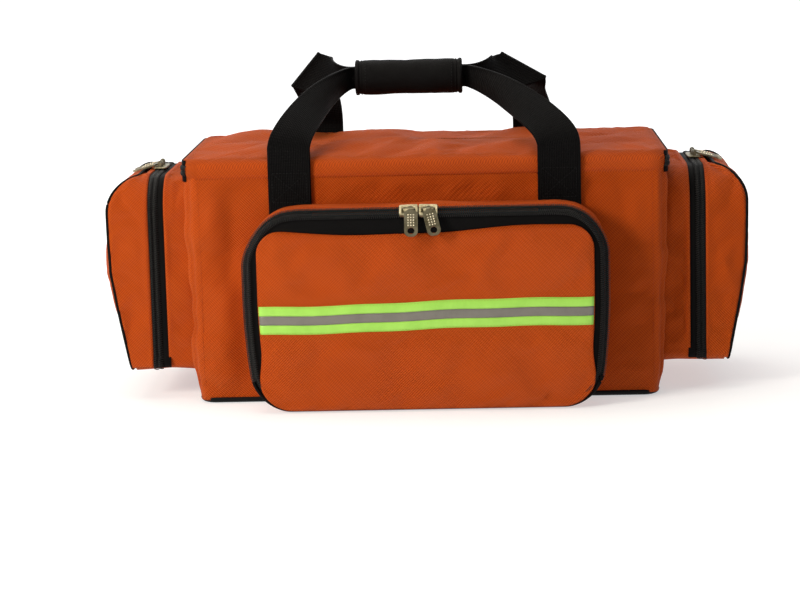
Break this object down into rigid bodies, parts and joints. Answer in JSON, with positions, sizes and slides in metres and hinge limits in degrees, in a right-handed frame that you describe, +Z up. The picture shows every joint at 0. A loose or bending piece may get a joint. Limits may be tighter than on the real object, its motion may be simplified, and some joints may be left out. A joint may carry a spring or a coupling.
{
  "type": "trauma bag",
  "caption": "Padded soft bag for first-aid supplies, with a zipped lid, zipped pockets on the front and ends, a reflective strip and webbing carry handles.",
  "frame": {"origin": "centre of the main compartment's base, on the ground", "axes": "+X to the bag's right as it is seen from the front pocket, +Y to its back, +Z up"},
  "size_m": [0.602, 0.2906, 0.3191],
  "materials": {
    "orange_cloth": "coated polyester twill",
    "base_cloth": "coated polyester",
    "base_board": "rigid sheet",
    "padded_lining": "foam in nylon lining",
    "zip_tape": "woven tape and coil",
    "webbing": "woven webbing",
    "grip_wrap": "padded cloth wrap",
    "reflective_lime": "fluorescent tape",
    "reflective_silver": "retroreflective",
    "zip_metal": "plated die-cast"
  },
  "bodies": {
    "root": {"base_panel": "base_cloth", "base_board": "base_board", "front_panel": "orange_cloth", "back_panel": "orange_cloth", "left_end_panel": "orange_cloth", "right_end_panel": "orange_cloth", "front_pad": "padded_lining", "back_pad": "padded_lining", "left_end_pad": "padded_lining", "right_end_pad": "padded_lining", "dividers": "padded_lining", "body_zip_half": "zip_tape", "front_strap_anchors": "webbing", "back_strap_anchors": "webbing", "pocket_gusset": "orange_cloth", "pocket_zip_body_half": "zip_tape", "left_pocket_gusset": "orange_cloth", "right_pocket_gusset": "orange_cloth", "left_pocket_zip_body_half": "zip_tape", "right_pocket_zip_body_half": "zip_tape"},
    "lid": {"lid_cover": "orange_cloth", "lid_pad": "padded_lining", "lid_zip_half": "zip_tape"},
    "pocket_flap": {"pocket_front_panel": "orange_cloth", "pocket_front_pad": "padded_lining", "pocket_zip_flap_half": "zip_tape", "reflective_lime_low": "reflective_lime", "reflective_lime_high": "reflective_lime", "reflective_silver": "reflective_silver"},
    "front_handle": {"front_handle": "webbing", "grip_wrap_front": "grip_wrap"},
    "back_handle": {"back_handle": "webbing", "grip_wrap_back": "grip_wrap"},
    "lid_slider_left": {"lid_slider_left": "zip_metal"},
    "lid_pull_left": {"lid_pull_left": "zip_metal"},
    "pocket_slider_left": {"pocket_slider_left": "zip_metal"},
    "pocket_pull_left": {"pocket_pull_left": "zip_metal"},
    "lid_slider_right": {"lid_slider_right": "zip_metal"},
    "lid_pull_right": {"lid_pull_right": "zip_metal"},
    "pocket_slider_right": {"pocket_slider_right": "zip_metal"},
    "pocket_pull_right": {"pocket_pull_right": "zip_metal"},
    "left_pocket_shell": {"left_pocket_outer_panel": "orange_cloth", "left_pocket_outer_gusset": "orange_cloth", "left_pocket_zip_flap_half": "zip_tape"},
    "left_pocket_slider_front": {"left_pocket_slider_front": "zip_metal"},
    "left_pocket_pull_front": {"left_pocket_pull_front": "zip_metal"},
    "left_pocket_slider_back": {"left_pocket_slider_back": "zip_metal"},
    "left_pocket_pull_back": {"left_pocket_pull_back": "zip_metal"},
    "right_pocket_shell": {"right_pocket_outer_panel": "orange_cloth", "right_pocket_outer_gusset": "orange_cloth", "right_pocket_zip_flap_half": "zip_tape"},
    "right_pocket_slider_front": {"right_pocket_slider_front": "zip_metal"},
    "right_pocket_pull_front": {"right_pocket_pull_front": "zip_metal"},
    "right_pocket_slider_back": {"right_pocket_slider_back": "zip_metal"},
    "right_pocket_pull_back": {"right_pocket_pull_back": "zip_metal"}
  },
  "joints": [
    {"name": "lid_hinge", "type": "hinge", "parent": "root", "child": "lid", "pos_m": [0, -0.11, 0.22525], "axis": [1, 0, 0], "range_deg": [0, 100]},
    {"name": "front_handle_fold", "type": "hinge", "parent": "root", "child": "front_handle", "pos_m": [0, -0.1125, 0.2208], "axis": [1, 0, 0], "range_deg": [0, 120]},
    {"name": "back_handle_fold", "type": "hinge", "parent": "root", "child": "back_handle", "pos_m": [0, 0.1134, 0.2], "axis": [-1, 0, 0], "range_deg": [0, 170]},
    {"name": "pocket_flap_hinge", "type": "hinge", "parent": "root", "child": "pocket_flap", "pos_m": [0, -0.1579, 0.0013], "axis": [1, 0, 0], "range_deg": [0, 85]},
    {"name": "lid_slider_left_slide", "type": "slide", "parent": "root", "child": "lid_slider_left", "axis": [-1, 0, 0], "range_m": [0, 0.065]},
    {"name": "lid_pull_left_swing", "type": "hinge", "parent": "lid_slider_left", "child": "lid_pull_left", "pos_m": [-0.009, 0.1162, 0.2207], "axis": [1, 0, 0], "range_deg": [0, 100]},
    {"name": "pocket_slider_left_slide", "type": "slide", "parent": "pocket_flap", "child": "pocket_slider_left", "axis": [-1, 0, 0], "range_m": [0, 0.1]},
    {"name": "pocket_pull_left_swing", "type": "hinge", "parent": "pocket_slider_left", "child": "pocket_pull_left", "pos_m": [-0.014, -0.15909, 0.18949], "axis": [-1, 0, 0], "range_deg": [0, 150]},
    {"name": "lid_slider_right_slide", "type": "slide", "parent": "root", "child": "lid_slider_right", "axis": [1, 0, 0], "range_m": [0, 0.065]},
    {"name": "lid_pull_right_swing", "type": "hinge", "parent": "lid_slider_right", "child": "lid_pull_right", "pos_m": [0.009, 0.1162, 0.2207], "axis": [1, 0, 0], "range_deg": [0, 100]},
    {"name": "pocket_slider_right_slide", "type": "slide", "parent": "pocket_flap", "child": "pocket_slider_right", "axis": [1, 0, 0], "range_m": [0, 0.1]},
    {"name": "pocket_pull_right_swing", "type": "hinge", "parent": "pocket_slider_right", "child": "pocket_pull_right", "pos_m": [0.004, -0.15909, 0.18949], "axis": [-1, 0, 0], "range_deg": [0, 150]},
    {"name": "left_pocket_hinge", "type": "hinge", "parent": "root", "child": "left_pocket_shell", "pos_m": [-0.283, 0, 0.0293], "axis": [0, -1, 0], "range_deg": [0, 90]},
    {"name": "left_pocket_slider_front_slide", "type": "slide", "parent": "left_pocket_shell", "child": "left_pocket_slider_front", "axis": [0, -1, 0], "range_m": [0, 0.032]},
    {"name": "left_pocket_pull_front_swing", "type": "hinge", "parent": "left_pocket_slider_front", "child": "left_pocket_pull_front", "pos_m": [-0.258, -0.009, 0.2182], "axis": [0, 1, 0], "range_deg": [0, 100]},
    {"name": "left_pocket_slider_back_slide", "type": "slide", "parent": "left_pocket_shell", "child": "left_pocket_slider_back", "axis": [0, 1, 0], "range_m": [0, 0.032]},
    {"name": "left_pocket_pull_back_swing", "type": "hinge", "parent": "left_pocket_slider_back", "child": "left_pocket_pull_back", "pos_m": [-0.258, 0.009, 0.2182], "axis": [0, 1, 0], "range_deg": [0, 100]},
    {"name": "right_pocket_hinge", "type": "hinge", "parent": "root", "child": "right_pocket_shell", "pos_m": [0.283, 0, 0.0293], "axis": [0, 1, 0], "range_deg": [0, 90]},
    {"name": "right_pocket_slider_front_slide", "type": "slide", "parent": "right_pocket_shell", "child": "right_pocket_slider_front", "axis": [0, -1, 0], "range_m": [0, 0.032]},
    {"name": "right_pocket_pull_front_swing", "type": "hinge", "parent": "right_pocket_slider_front", "child": "right_pocket_pull_front", "pos_m": [0.258, -0.009, 0.2182], "axis": [0, -1, 0], "range_deg": [0, 100]},
    {"name": "right_pocket_slider_back_slide", "type": "slide", "parent": "right_pocket_shell", "child": "right_pocket_slider_back", "axis": [0, 1, 0], "range_m": [0, 0.032]},
    {"name": "right_pocket_pull_back_swing", "type": "hinge", "parent": "right_pocket_slider_back", "child": "right_pocket_pull_back", "pos_m": [0.258, 0.009, 0.2182], "axis": [0, -1, 0], "range_deg": [0, 100]}
  ],
  "couplings": [
    {"joint": "front_handle_fold", "follows": "lid_hinge", "ratio": 1.2},
    {"joint": "back_handle_fold", "follows": "lid_hinge", "ratio": 1.7}
  ]
}
